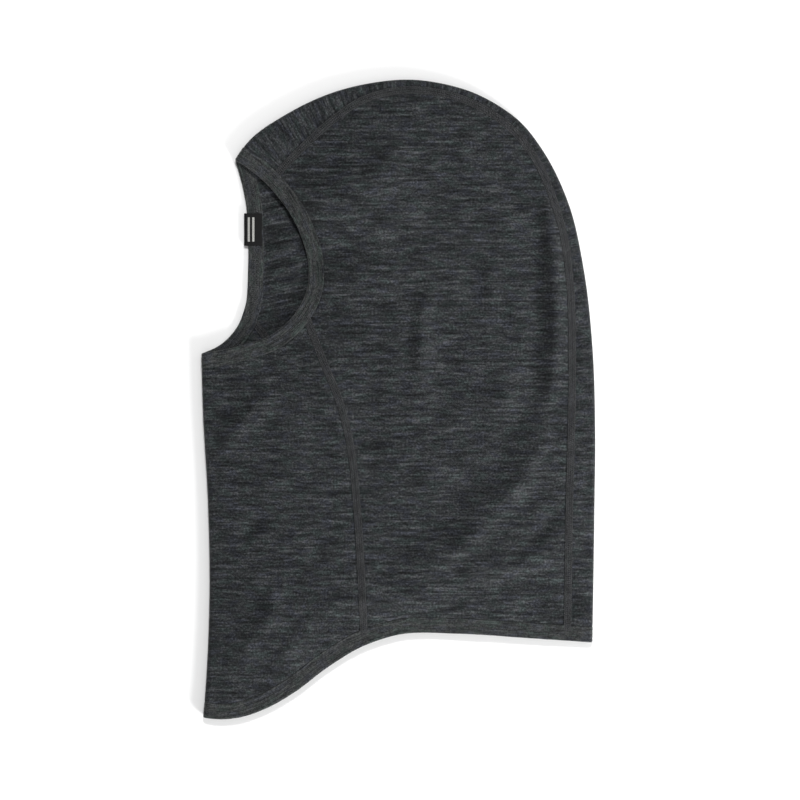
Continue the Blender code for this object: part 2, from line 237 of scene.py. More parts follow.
def crossing(first, second):
    """The fractions along two lines at which they cross."""
    p, r = first.points[:-1, None], np.diff(first.points, axis=0)[:, None]
    q, s = second.points[None, :-1], np.diff(second.points, axis=0)[None]
    cross = r[..., 0] * s[..., 1] - r[..., 1] * s[..., 0]
    cross = np.where(np.abs(cross) < 1e-18, 1e-18, cross)
    t = ((q - p)[..., 0] * s[..., 1] - (q - p)[..., 1] * s[..., 0]) / cross
    u = ((q - p)[..., 0] * r[..., 1] - (q - p)[..., 1] * r[..., 0]) / cross
    i, j = np.argwhere((t >= 0) & (t <= 1) & (u >= 0) & (u <= 1))[0]
    here = first.reach[i] + t[i, j] * (first.reach[i + 1] - first.reach[i])
    there = second.reach[j] + u[i, j] * (second.reach[j + 1] - second.reach[j])
    return here / first.length, there / second.length


def nearest(line, points):
    """Each point's shortest distance to a line, and how far along the line that is."""
    flat = points.reshape(-1, 2)
    best = np.full(len(flat), np.inf)
    where = np.zeros(len(flat))
    for k in range(len(line.points) - 1):
        start, along = line.points[k], line.points[k + 1] - line.points[k]
        share = np.clip((flat - start) @ along / (along @ along), 0.0, 1.0)
        away = np.linalg.norm(flat - start - share[:, None] * along, axis=1)
        closer = away < best
        best[closer] = away[closer]
        where[closer] = (line.reach[k] + share * (line.reach[k + 1] - line.reach[k]))[closer]
    return best.reshape(points.shape[:-1]), where.reshape(points.shape[:-1])


crown_fold = smooth_line(CROWN_FOLD)
front_fold = smooth_line(FRONT_FOLD)


class Edge:
    """An open edge of the cloth that starts on one fold and ends on another."""

    def __init__(self, outline, folds, from_start):
        self.line = smooth_line(outline)
        self.folds = folds
        self.from_start = from_start

    def fold_point(self, end, distance):
        fold = self.folds[end]
        share = distance / fold.length
        return fold.at(share if self.from_start else 1.0 - share)

    def point(self, fraction, distance):
        """A point set in from the edge, which runs along the fold at either end."""
        fraction = np.asarray(fraction, dtype=float)
        distance = np.broadcast_to(distance, fraction.shape)
        here = self.line.at(fraction)
        plain = here + self.line.right(fraction) * distance[..., None]
        for end, from_end in ((0, fraction), (1, 1.0 - fraction)):
            share = (1.0 - ease(from_end * self.line.length / FOLD_BLEND))[..., None]
            turned = here + self.fold_point(end, distance) - self.line.at(float(end))
            plain = plain * (1.0 - share) + turned * share
        return plain

    def inset(self, distance):
        count = len(self.line.points) - 1
        return Line(self.point(np.linspace(0.0, 1.0, count + 1), distance))


near_edge = Edge(NEAR_FACE_EDGE, (front_fold, crown_fold), True)
far_edge = Edge(FAR_FACE_EDGE, (front_fold, crown_fold), True)
hem_edge = Edge(HEM, (crown_fold, front_fold), False)
seams = {"crown_left": smooth_line(CROWN_SEAM_LEFT), "crown_right": smooth_line(CROWN_SEAM_RIGHT),
         "bib_left": smooth_line(BIB_SEAM_LEFT), "bib_right": smooth_line(BIB_SEAM_RIGHT)}


def creased(points, creases):
    """The sum of soft valleys and swells, each of which dies out at its ends."""
    lift = np.zeros(points.shape[:-1])
    for height, width, path in creases:
        line = smooth_line(path)
        away, where = nearest(line, points)
        if isinstance(width, tuple):
            on_left = nearest(line.inset(-0.5 * MM), points)[0] < away
            width = np.where(on_left, *width)
        ends = ease(np.minimum(where, line.length - where) / (0.3 * line.length) + 0.15)
        lift += height * MM * np.exp(-(away / (width * MM))**2) * ends
    return lift


def mottled(points, size, seed):
    """Smooth random swells about size across, between -1 and 1."""
    flat = points.reshape(-1, points.shape[-1]) / size
    values = [noise.noise(Vector((x, y, seed))) for x, y in flat[:, :2]]
    return np.array(values).reshape(points.shape[:-1])


class Relief:
    """Soft folds over the whole plan, worked out once on a table and read between its points."""

    def __init__(self, creases, swells):
        self.low = (cad_low[0] - 0.01, cad_low[1] - 0.01)
        counts = [int((cad_high[k] - cad_low[k] + 0.02) / RELIEF_CELL) + 2 for k in (0, 1)]
        grid = np.meshgrid(*(self.low[k] + np.arange(counts[k]) * RELIEF_CELL for k in (0, 1)),
                           indexing="ij")
        points = np.stack(grid, -1)
        self.table = creased(points, creases)
        for size, height, seed in swells:
            self.table += height * MM * mottled(points, size * MM, seed)

    def at(self, points):
        place = (points - self.low) / RELIEF_CELL
        i, j = (np.clip(place[..., k].astype(int), 0, self.table.shape[k] - 2) for k in (0, 1))
        s, t = place[..., 0] - i, place[..., 1] - j
        table = self.table
        return ((table[i, j] * (1 - s) + table[i + 1, j] * s) * (1 - t)
                + (table[i, j + 1] * (1 - s) + table[i + 1, j + 1] * s) * t)


upper_relief = Relief(UPPER_CREASES, ((40.0, 0.8, 3.0), (17.0, 0.5, 8.0), (8.0, 0.25, 15.0)))
lower_relief = Relief(LOWER_CREASES, ((16.0, 0.7, 21.0), (7.0, 0.25, 27.0)))


def cloth(points, upper, seam_relief=True):
    """The cloth's outer face over points in plan, as points in space."""
    crown_away, _ = nearest(crown_fold, points)
    front_away, _ = nearest(front_fold, points)
    from_fold = np.minimum(crown_away, front_away)
    turn = np.clip(1.0 - from_fold / FOLD_RADIUS, 0.0, 1.0)
    rise = FOLD_RADIUS * np.sqrt(1.0 - turn * turn)
    middle = LOWER_REST + FOLD_RADIUS
    away_from_fold = ease((from_fold - FOLD_QUIET[0]) / FOLD_QUIET[1])
    if upper:
        inside = np.maximum(0.0, from_fold - FOLD_RADIUS)
        loft = LOFT * (1.0 - np.exp(-inside / LOFT_REACH))
        for edge, (share, reach) in ((near_edge, FACE_EDGE), (hem_edge, HEM_EDGE)):
            away = nearest(edge.line, points)[0]
            loft *= share + (1.0 - share) * ease(away / reach)
        height = middle + rise + loft + upper_relief.at(points) * away_from_fold
    else:
        height = middle - rise + np.maximum(0.0, lower_relief.at(points)) * away_from_fold
    if seam_relief:
        sign = 1.0 if upper else 0.0
        for name, line in seams.items():
            if name.endswith("left") == upper:
                away, where = nearest(line, points)
                past = np.maximum(0.0, away - SEAM_WIDTH / 2)
                ripple = mottled(np.stack((where, away * 0.35), -1), 4.5 * MM, 5.0)
                height += sign * 0.38 * MM * ripple * np.exp(-past / (5 * MM)) * away_from_fold
                height -= sign * 0.25 * MM * np.exp(-(past / (1.6 * MM))**2)
    return np.concatenate((points, height[..., None]), -1)


def blended(side, u, v):
    """Points inside four boundary lines: start and end along v, first and last along u."""
    start, end, first, last = side
    along = start.at(u) * (1.0 - v[..., None]) + end.at(u) * v[..., None]
    across = first.at(v) * (1.0 - u[..., None]) + last.at(v) * u[..., None]
    u, v = u[..., None], v[..., None]
    corners = ((start.at(0.0) * (1.0 - u) + start.at(1.0) * u) * (1.0 - v)
               + (end.at(0.0) * (1.0 - u) + end.at(1.0) * u) * v)
    return along + across - corners


# ---------------------------------------------------------------------------------------------
# Meshes
# ---------------------------------------------------------------------------------------------
def grid_object(name, place, coords, closed=(False, False)):
    """A grid whose points come from place, an array (u, v, 3), with coords as its cloth map."""
    u_count, v_count = place.shape[0] - 1, place.shape[1] - 1
    bm = bmesh.new()
    bmesh.ops.create_grid(bm, x_segments=u_count, y_segments=v_count, size=0.5, calc_uvs=False)
    layer = bm.loops.layers.uv.new("cloth")
    index = {}
    for vert in bm.verts:
        key = (round((vert.co.x + 0.5) * u_count), round((vert.co.y + 0.5) * v_count))
        index[vert] = key
        vert.co = place[key]
    for face in bm.faces:
        face.smooth = True
        for loop in face.loops:
            loop[layer].uv = coords[index[loop.vert]]
    if any(closed):
        bmesh.ops.remove_doubles(bm, verts=bm.verts, dist=1e-6)
    bm.normal_update()
    mesh = bpy.data.meshes.new(name)
    bm.to_mesh(mesh)
    bm.free()
    piece = bpy.data.objects.new(name, mesh)
    bpy.context.scene.collection.objects.link(piece)
    return piece


def face_up(piece, upper=True):
    """Turns an open cloth so that its outer face is out: up on the upper half, down below."""
    mesh = piece.data
    highest = max(mesh.polygons, key=lambda face: face.center.z)
    if (highest.normal.z > 0.0) != upper:
        mesh.flip_normals()


def thicken(piece, thickness):
    shell = piece.modifiers.new("thickness", "SOLIDIFY")
    shell.thickness = thickness
    shell.offset = -1.0
    return shell


def grid_params(u_count, v_count):
    return np.meshgrid(np.linspace(0.0, 1.0, u_count + 1), np.linspace(0.0, 1.0, v_count + 1),
                       indexing="ij")


def seam_side(name, offset):
    """A seam's line moved sideways, with where it runs in under the face and hem bindings."""
    upper = name.endswith("left")
    line = seams[name].inset(offset)
    face = (near_edge if upper else far_edge).inset(BAND_WIDTH - BAND_TUCK)
    at_face, on_face = crossing(line, face)
    at_hem, on_hem = crossing(line, hem_edge.inset(BAND_WIDTH - BAND_TUCK))
    return line.part(at_face, at_hem), on_face, on_hem


def tucked(points, upper):
    """The cloth, pressed inwards where it runs in under the edge bindings, also round the folds."""
    surface = cloth(points, upper)
    edges = (near_edge if upper else far_edge, hem_edge)
    away = np.minimum(*(nearest(edge.line, points)[0] for edge in edges))
    down = TUCK_DEPTH * (1.0 - ease((away - BAND_WIDTH + 0.6 * MM) / (1.2 * MM)))
    steep = np.zeros_like(down)
    for fold, inward in ((crown_fold, 1.0), (front_fold, -1.0)):
        from_fold, where = nearest(fold, points)
        turn = np.clip(1.0 - from_fold / FOLD_RADIUS, 0.0, 1.0)
        surface[..., :2] += fold.right(where / fold.length) * (inward * down * turn)[..., None]
        steep = np.maximum(steep, turn)
    down = down * np.sqrt(1.0 - steep * steep)
    surface[..., 2] -= down if upper else -down
    return surface


def make_side_panel(name, crown_seam, bib_seam, u_count, v_count):
    """The large panel over one side of the head and neck."""
    upper = crown_seam.endswith("left")
    bib_side, face_bib, hem_bib = seam_side(bib_seam, -SEAM_GAP)
    crown_side, face_crown, hem_crown = seam_side(crown_seam, SEAM_GAP)
    face = (near_edge if upper else far_edge).inset(BAND_WIDTH - BAND_TUCK)
    hem = hem_edge.inset(BAND_WIDTH - BAND_TUCK)
    side = (bib_side, crown_side, face.part(face_bib, face_crown), hem.part(hem_bib, hem_crown))
    u, v = grid_params(u_count, v_count)
    plan = blended(side, u, v)
    coords = plan.copy()
    if not upper:
        slant = math.radians(LOWER_GRAIN_SLANT)
        turn = np.array(((math.cos(slant), -math.sin(slant)), (math.sin(slant), math.cos(slant))))
        coords = plan @ turn
    piece = grid_object(name, tucked(plan, upper), coords)
    face_up(piece, upper)
    thicken(piece, FABRIC)
    return piece


def make_folded_panel(name, fold, seam_names, offset, at_face, u_count, v_count):
    """A panel that wraps round a fold, from the lower half's seam to the upper half's."""
    inset = (BAND_WIDTH - BAND_TUCK) / fold.length
    fold_line = fold.part(inset, 1.0 - inset)
    u, v = grid_params(u_count, v_count)
    halves = []
    for seam_name, upper in zip(seam_names, (False, True)):
        seam_line, on_face, on_hem = seam_side(seam_name, offset)
        face = (near_edge if upper else far_edge).inset(BAND_WIDTH - BAND_TUCK)
        hem = hem_edge.inset(BAND_WIDTH - BAND_TUCK)
        side = (fold_line, seam_line, face.part(at_face, on_face),
                hem.part(1.0 - at_face, on_hem))
        width = np.linalg.norm(seam_line.at(u) - fold_line.at(u), axis=-1)
        quarter = FOLD_RADIUS * math.pi / 2
        over = v * (quarter + width - FOLD_RADIUS)
        plan_away = np.where(over < quarter, FOLD_RADIUS * (1.0 - np.cos(over / FOLD_RADIUS)),
                             over - quarter + FOLD_RADIUS)
        plan = blended(side, u, plan_away / width)
        surface = tucked(plan, upper)
        if fold is front_fold:
            coords = np.stack((over - 0.12, plan[..., 1]), -1)
        else:
            coords = np.stack((over, nearest(fold, plan)[1]), -1)
        if upper:
            halves.append((surface[:, 1:], coords[:, 1:]))
        else:
            coords[..., 0] = coords[:, :1, 0] * 2 - coords[..., 0]
            halves.append((surface[:, ::-1], coords[:, ::-1]))
    place = np.concatenate([half[0] for half in halves], axis=1)
    coords = np.concatenate([half[1] for half in halves], axis=1)
    piece = grid_object(name, place, coords)
    face_up(piece)
    thicken(piece, FABRIC)
    return piece


class Ribbon:
    """A strip along the cloth, read by the distance along it and the distance across it."""

    def __init__(self, place, width, closed):
        self.closed = closed
        fractions = np.linspace(0.0, 1.0, RIBBON_STEPS + 1)
        if closed:
            half = 0.5 - 0.5 * np.cos(np.pi * np.mod(2 * fractions, 1.0))
            half[-1] = 1.0
            fractions = np.where(fractions < 0.5, half / 2, 0.5 + half / 2)
        middle = place(fractions, np.full(RIBBON_STEPS + 1, width / 2))
        reach = np.concatenate(([0.0], np.cumsum(np.linalg.norm(np.diff(middle, axis=0), axis=1))))
        self.length = reach[-1]
        self.step = self.length / int(self.length / RIBBON_CELL)
        evenly = np.interp(np.arange(int(self.length / RIBBON_CELL) + 1) * self.step,
                           reach, fractions)
        self.across = np.linspace(0.0, width, RIBBON_ROWS)
        self.points = place(*np.meshgrid(evenly, self.across, indexing="ij"))
        if closed:
            run = np.roll(self.points[:-1], -1, 0) - np.roll(self.points[:-1], 1, 0)
            run = np.concatenate((run, run[:1]))
            self.points[-1] = self.points[0]
        else:
            run = np.gradient(self.points, axis=0)
        out = np.cross(run, np.gradient(self.points, axis=1))
        out /= np.linalg.norm(out, axis=-1, keepdims=True)
        self.out = out * math.copysign(1.0, out[len(out) // 4, 0, 2])

    def over(self, along, across, lift):
        """Points lifted off the cloth's outer face."""
        along, across, lift = np.broadcast_arrays(
            *(np.asarray(value, dtype=float) for value in (along, across, lift)))
        along = np.mod(along, self.length) if self.closed else np.clip(along, 0.0, self.length)
        i = np.clip((along / self.step).astype(int), 0, len(self.points) - 2)
        j = np.clip(np.searchsorted(self.across, across) - 1, 0, len(self.across) - 2)
        s = (along / self.step - i)[..., None]
        t = ((across - self.across[j]) / (self.across[1] - self.across[0]))[..., None]

        def read(table):
            return ((table[i, j] * (1 - s) + table[i + 1, j] * s) * (1 - t)
                    + (table[i, j + 1] * (1 - s) + table[i + 1, j + 1] * s) * t)

        out = read(self.out)
        out /= np.linalg.norm(out, axis=-1, keepdims=True)
        return read(self.points) + out * lift[..., None]


def seam_ribbon(name):
    """The strip that a flatlock seam covers, from edge to edge across it."""
    upper = name.endswith("left")
    first, face_first, hem_first = seam_side(name, -SEAM_WIDTH / 2)
    last, face_last, hem_last = seam_side(name, SEAM_WIDTH / 2)
    face = (near_edge if upper else far_edge).inset(BAND_WIDTH - BAND_TUCK)
    hem = hem_edge.inset(BAND_WIDTH - BAND_TUCK)
    side = (first, last, face.part(face_first, face_last), hem.part(hem_first, hem_last))

    def place(along, across):
        return cloth(blended(side, along, across / SEAM_WIDTH), upper, seam_relief=False)

    ribbon = Ribbon(place, SEAM_WIDTH, closed=False)
    ribbon.out *= 1.0 if upper else -1.0
    return ribbon


def edge_ribbon(upper_edge, lower_edge):
    """The strip along an open edge: out along the upper half and back along the lower."""

    def place(along, across):
        along, across = np.broadcast_arrays(along, across)
        upper = along < 0.5
        share = np.where(upper, 2 * along, 2 - 2 * along)
        above = cloth(upper_edge.point(share, across), True, seam_relief=False)
        below = cloth(lower_edge.point(share, across), False, seam_relief=False)
        if lower_edge is far_edge:
            below[..., 2] += label_room(below)
        return np.where(upper[..., None], above, below)

    return Ribbon(place, BAND_WIDTH, closed=True)


LABEL_LOW, LABEL_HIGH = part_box("edge_label")


def label_room(points):
    """The far face edge is lifted a little over the tab that is folded round it."""
    middle, half = (LABEL_LOW[1] + LABEL_HIGH[1]) / 2, (LABEL_HIGH[1] - LABEL_LOW[1]) / 2
    past = np.abs(points[..., 1] - middle) - half
    at_the_tab = points[..., 0] < -60 * MM
    return LABEL_LIFT * (1.0 - ease(past / LABEL_LIFT_REACH)) * at_the_tab


def make_binding(name, ribbon, spacing):
    """A band of cloth folded over the edge: two leaves, closed at the fold, ribbed by stitching."""
    count = int(ribbon.length / spacing)
    along = np.linspace(0.0, ribbon.length, count + 1)
    radius = BAND_THICK / 2
    width = BAND_WIDTH
    profile = []
    for k in range(7):
        angle = math.pi * (k / 6)
        profile.append((radius * 0.9 * (1 - math.sin(angle)), radius * (math.cos(angle) - 1)))
    flat_steps = 26
    outer = [(radius + (width - radius) * k / flat_steps, 0.0) for k in range(flat_steps, 0, -1)]
    inner = [(x, -BAND_THICK) for x, _ in reversed(outer)]
    loop = outer + profile + inner
    loop.append(loop[0])
    across = np.array([p[0] for p in loop])
    depth = np.array([p[1] for p in loop])
    end_round = np.where(across > width - 0.01 * MM, -0.18 * MM, 0.0)
    u, v = np.meshgrid(along, np.arange(len(loop)), indexing="ij")
    lift = depth[v.astype(int)]
    outer_leaf = lift > -0.2 * MM
    a = across[v.astype(int)]
    from_join = ease(np.minimum(u, ribbon.length - u) / (5.0 * MM))
    pucker = BAND_PUCKER * mottled(np.stack((u, a * 0.5), -1), 3.4 * MM, 2.0) * from_join
    groove = sum(np.exp(-((a - row) / BAND_GROOVE_WIDTH)**2) for row in STITCH_ROWS)
    inner_leaf = lift < -BAND_THICK + 0.1 * MM
    lift = lift + BAND_LIFT
    lift += np.where(outer_leaf, pucker - BAND_GROOVE * groove + end_round[v.astype(int)], 0.0)
    lift += np.where(inner_leaf, BAND_GROOVE_INSIDE * groove, 0.0)
    place = ribbon.over(u, a, lift)
    coords = np.stack((u, np.cumsum(np.abs(np.diff(a, axis=1, prepend=a[:, :1])), axis=1)), -1)
    place[-1] = place[0]
    place[:, -1] = place[:, 0]
    piece = grid_object(name, place, coords, closed=(True, True))
    face_up(piece)
    return piece


def thread_object(name, runs, radius, closed=False):
    """Sewing thread as thin tubes, one for each run of points."""
    curve = bpy.data.curves.new(name, "CURVE")
    curve.dimensions = "3D"
    curve.bevel_depth = radius
    curve.bevel_resolution = 1
    curve.use_fill_caps = not closed
    for run in runs:
        spline = curve.splines.new("POLY")
        spline.points.add(len(run) - 1)
        spline.points.foreach_set("co", np.hstack((run, np.ones((len(run), 1)))).ravel())
        spline.use_cyclic_u = closed
        spline.use_smooth = True
    piece = bpy.data.objects.new(name, curve)
    bpy.context.scene.collection.objects.link(piece)
    return piece


def needle_row(ribbon, across, stitch, base=0.0, side=1.0):
    """One line of needle thread: long stitches on the cloth that dip into it at each hole."""
    count = int(ribbon.length / stitch)
    stitch = ribbon.length / count
    starts = np.arange(count)[:, None] * stitch
    steps = np.array((0.02, 0.16, 0.5, 0.84, 0.98))[None] * stitch
    lifts = np.array((-0.24, 0.10, 0.17, 0.10, -0.24)) * MM
    along = (starts + steps).ravel()
    return ribbon.over(along, across, base + side * np.tile(lifts, count))


def looper_row(ribbon, low, high, stitch, base=0.0, side=1.0, shift=0.0):
    """The looper thread that crosses from side to side, once for each stitch."""
    count = int(ribbon.length / stitch)
    stitch = ribbon.length / count
    phase = (np.arange(2 * count)[:, None] + np.array((0.0, 0.25, 0.5, 0.75))[None]).ravel()
    swing = np.abs(np.mod(phase, 2.0) - 1.0)
    across = low + (high - low) * (0.5 - 0.5 * np.cos(np.pi * swing))
    along = (phase / 2 + shift) * stitch
    lift = (0.02 + 0.09 * np.sin(np.pi * swing)) * MM
    return ribbon.over(along, across, base + side * lift)


def make_flatlock(name):
    """A flatlock seam: a soft ribbed bed through the cloth, needle rows and loopers over it."""
    ribbon = seam_ribbon(name)
    count = int(ribbon.length / SEAM_SPACING)
    along = np.linspace(0.0, ribbon.length, count + 1)
    across = np.linspace(0.1 * MM, SEAM_WIDTH - 0.1 * MM, 25)
    u, v = np.meshgrid(along, across, indexing="ij")
    crown = 1.0 - np.abs(2 * v / SEAM_WIDTH - 1.0)**4
    groove = sum(0.16 * MM * np.exp(-((v - row) / (0.38 * MM))**2) for row in SEAM_ROWS)
    bulge = 0.07 * MM * mottled(np.stack((u, v * 0.5), -1), 2.6 * MM, 4.0)
    lift = (-0.10 + 0.24 * crown) * MM - groove + bulge
    bed = grid_object(name + "_flatlock", ribbon.over(u, v, lift), np.stack((u, v), -1))
    face_up(bed, name.endswith("left"))
    thicken(bed, SEAM_THROUGH)
    edges = (SEAM_LOOPER_INSET, SEAM_WIDTH - SEAM_LOOPER_INSET)
    runs = [needle_row(ribbon, row, STITCH) for row in SEAM_ROWS]
    loops = [looper_row(ribbon, *edges, STITCH, shift=k / 2) for k in range(2)]
    if name.endswith("right"):
        inside = -SEAM_THROUGH
        runs += [needle_row(ribbon, row, STITCH, inside, -1.0) for row in SEAM_ROWS]
        loops += [looper_row(ribbon, *edges, STITCH, inside, -1.0, k / 2) for k in range(2)]
    return (bed, thread_object(name + "_needle_threads", runs, THREAD),
            thread_object(name + "_looper_threads", loops, LOOPER_THREAD))


def make_coverstitch(name, ribbon):
    """Three needle rows outside an edge binding; inside, the same rows with their looper thread."""
    inside = BAND_LIFT - BAND_THICK
    runs = [needle_row(ribbon, row, STITCH, BAND_LIFT - BAND_GROOVE) for row in STITCH_ROWS]
    runs += [needle_row(ribbon, row, STITCH, inside + BAND_GROOVE_INSIDE, -1.0)
             for row in STITCH_ROWS]
    loops = [looper_row(ribbon, STITCH_ROWS[k], STITCH_ROWS[k + 1], STITCH, inside, -1.0)
             for k in range(2)]
    return (thread_object(name + "_needle_threads", runs, THREAD, closed=True),
            thread_object(name + "_looper_threads", loops, LOOPER_THREAD, closed=True))


def make_label(name):
    """A woven tab folded over the far face edge."""
    low, high = LABEL_LOW, LABEL_HIGH
    tape = TAPE_THICK
    radius = (high[2] - low[2]) / 2 - tape / 2
    flat = high[0] - low[0] - radius - tape / 2
    turn = math.pi * radius
    total = 2 * flat + turn
    along, across = np.meshgrid(np.linspace(0, total, 73), np.linspace(0, 1, 51), indexing="ij")
    left = low[0] + radius + tape / 2
    angle = np.clip((along - flat) / radius, 0.0, math.pi)
    x = left + np.where(along < flat, flat - along, np.maximum(0, along - flat - turn))
    x = x - radius * np.sin(angle)
    z = low[2] + tape / 2 + radius * (1.0 - np.cos(angle))
    upper_leaf = ease((along - flat - turn) / (4 * MM))
    z = z + upper_leaf * (0.3 * MM * np.sin(np.pi * across) + 0.5 * MM * across * (1 - across))
    y = low[1] + across * (high[1] - low[1])
    piece = grid_object(name, np.stack((x, y, z), -1),
                        np.stack((along - flat - turn, y - low[1]), -1))
    shell = piece.modifiers.new("thickness", "SOLIDIFY")
    shell.thickness = tape
    shell.offset = 0.0
    rounding = piece.modifiers.new("soft_edges", "BEVEL")
    rounding.width = 0.12 * MM
    rounding.segments = 2
    return piece


# ---------------------------------------------------------------------------------------------
# Materials
# ---------------------------------------------------------------------------------------------
def colour(code):
    """An sRGB hex colour as linear RGBA."""
    parts = [int(code[k:k + 2], 16) / 255 for k in (0, 2, 4)]
    return (*(c / 12.92 if c <= 0.04045 else ((c + 0.055) / 1.055)**2.4 for c in parts), 1.0)


def add_node(tree, kind, values=None, links=None, **settings):
    node = tree.nodes.new(kind)
    for name, value in settings.items():
        setattr(node, name, value)
    for socket, value in (values or {}).items():
        node.inputs[socket].default_value = value
    for socket, source in (links or {}).items():
        tree.links.new(source, node.inputs[socket])
    return node


def new_material(name, roughness, **values):
    material = bpy.data.materials.new(name)
    material.use_nodes = True
    tree = material.node_tree
    shader = tree.nodes["Principled BSDF"]
    shader.inputs["Roughness"].default_value = roughness
    for socket, value in values.items():
        shader.inputs[socket.replace("_", " ")].default_value = value
    return material, tree, shader


def calc(tree, operation, *values):
    """A Math node's result over numbers and other nodes' results."""
    node = add_node(tree, "ShaderNodeMath", operation=operation)
    for socket, value in zip(node.inputs, values):
        if isinstance(value, (int, float)):
            socket.default_value = value
        else:
            tree.links.new(value, socket)
    return node.outputs[0]


def colour_steps(tree, source, steps):
    ramp = add_node(tree, "ShaderNodeValToRGB", links={"Fac": source})
    elements = ramp.color_ramp.elements
    while len(elements) < len(steps):
        elements.new(0.5)
    for element, (place, code) in zip(elements, steps):
        element.position = place
        element.color = colour(code)
    return ramp.outputs["Color"]


def noise_value(tree, source, length, height, detail, seed):
    """Noise whose grains are about length by height millimetres on the cloth."""
    stretched = add_node(tree, "ShaderNodeMapping", links={"Vector": source}, values={
        "Scale": (1 / (length * MM), 1 / (height * MM), 1.0), "Location": (seed, seed, 0.0)})
    return add_node(tree, "ShaderNodeTexNoise", links={"Vector": stretched.outputs[0]},
                    values={"Scale": 1.0, "Detail": detail, "Roughness": 0.5}).outputs["Fac"]


def summed(tree, parts):
    """A weighted sum of values."""
    total = 0.0
    for source, share in parts:
        total = calc(tree, "ADD", total, calc(tree, "MULTIPLY", source, share))
    return total


def knit_relief(tree, source, wale, course):
    """The height of plain knitting: columns of V-shaped loops, each with two slanting legs."""
    split = add_node(tree, "ShaderNodeSeparateXYZ", links={"Vector": source})
    across = calc(tree, "DIVIDE", split.outputs["X"], wale)
    row = calc(tree, "ADD", calc(tree, "DIVIDE", split.outputs["Y"], course),
               calc(tree, "PINGPONG", across, 0.5))
    loop = calc(tree, "SINE", calc(tree, "MULTIPLY", row, 2 * math.pi))
    leg = calc(tree, "COSINE", calc(tree, "MULTIPLY", across, 4 * math.pi))
    return calc(tree, "SUBTRACT", loop, leg)


def knitted_wool(name, sheen, streak_parts, knit_shade_share, steps):
    """Knitted yarn spun from fibres of several shades, which streak the cloth along its rows."""
    material, tree, shader = new_material(name, 0.95, Specular_IOR_Level=0.2,
                                          Sheen_Weight=sheen, Sheen_Roughness=0.45)
    cloth_map = add_node(tree, "ShaderNodeUVMap", uv_map="cloth").outputs["UV"]
    wander = add_node(tree, "ShaderNodeTexNoise", links={"Vector": cloth_map},
                      values={"Scale": 1 / KNIT_WANDER, "Detail": 1.0}).outputs["Color"]
    shift = add_node(tree, "ShaderNodeVectorMath", links={0: wander}, operation="MULTIPLY",
                     values={1: (0.9 * MM, 0.5 * MM, 0.0)}).outputs[0]
    placed = add_node(tree, "ShaderNodeVectorMath", links={0: cloth_map, 1: shift},
                      operation="ADD").outputs[0]
    knit = knit_relief(tree, placed, WALE, COURSE)
    value = summed(tree, [(noise_value(tree, cloth_map, *size, seed), share)
                          for seed, (share, *size) in enumerate(streak_parts, 11)])
    # The knit loops' height is mixed into the colour as well, lighter on the loops and darker between
    # them: painted light and shade, beside the bump below.
    base = colour_steps(tree, summed(tree, ((value, 1.0), (knit, knit_shade_share))), steps)
    shades = noise_value(tree, cloth_map, 9.0, 5.0, 2.0, 77.0)
    tint = colour_steps(tree, shades, ((0.38, "e6e8f6"), (0.50, "f4f2f0"), (0.62, "e4f4ee")))
    dyed = add_node(tree, "ShaderNodeMix", data_type="RGBA", blend_type="MULTIPLY")
    dyed.inputs["Factor"].default_value = 1.0
    tree.links.new(base, dyed.inputs[COLOUR_A])
    tree.links.new(tint, dyed.inputs[COLOUR_B])
    tree.links.new(dyed.outputs[COLOUR_OUT], shader.inputs["Base Color"])
    height = summed(tree, ((knit, 0.22), (value, 1.0)))
    bump = add_node(tree, "ShaderNodeBump", links={"Height": height},
                    values={"Strength": 0.5, "Distance": 0.3 * MM})
    tree.links.new(bump.outputs["Normal"], shader.inputs["Normal"])
    return material


def spun_thread():
    """Textured polyester thread: soft, slightly shiny, mottled by its twist."""
    material, tree, shader = new_material("textured_polyester_thread", 0.75, Specular_IOR_Level=0.3,
                                          Sheen_Weight=0.3, Sheen_Roughness=0.4)
    place = add_node(tree, "ShaderNodeTexCoord").outputs["Object"]
    value = summed(tree, ((noise_value(tree, place, 0.5, 0.5, 2.0, 3.0), 0.5),
                          (noise_value(tree, place, 5.0, 5.0, 2.0, 9.0), 0.5)))
    base = colour_steps(tree, value, ((0.36, "1a1b1d"), (0.50, "292a2c"), (0.64, "3c3d40")))
    tree.links.new(base, shader.inputs["Base Color"])
    bump = add_node(tree, "ShaderNodeBump", links={"Height": value},
                    values={"Strength": 0.4, "Distance": 0.1 * MM})
    tree.links.new(bump.outputs["Normal"], shader.inputs["Normal"])
    return material


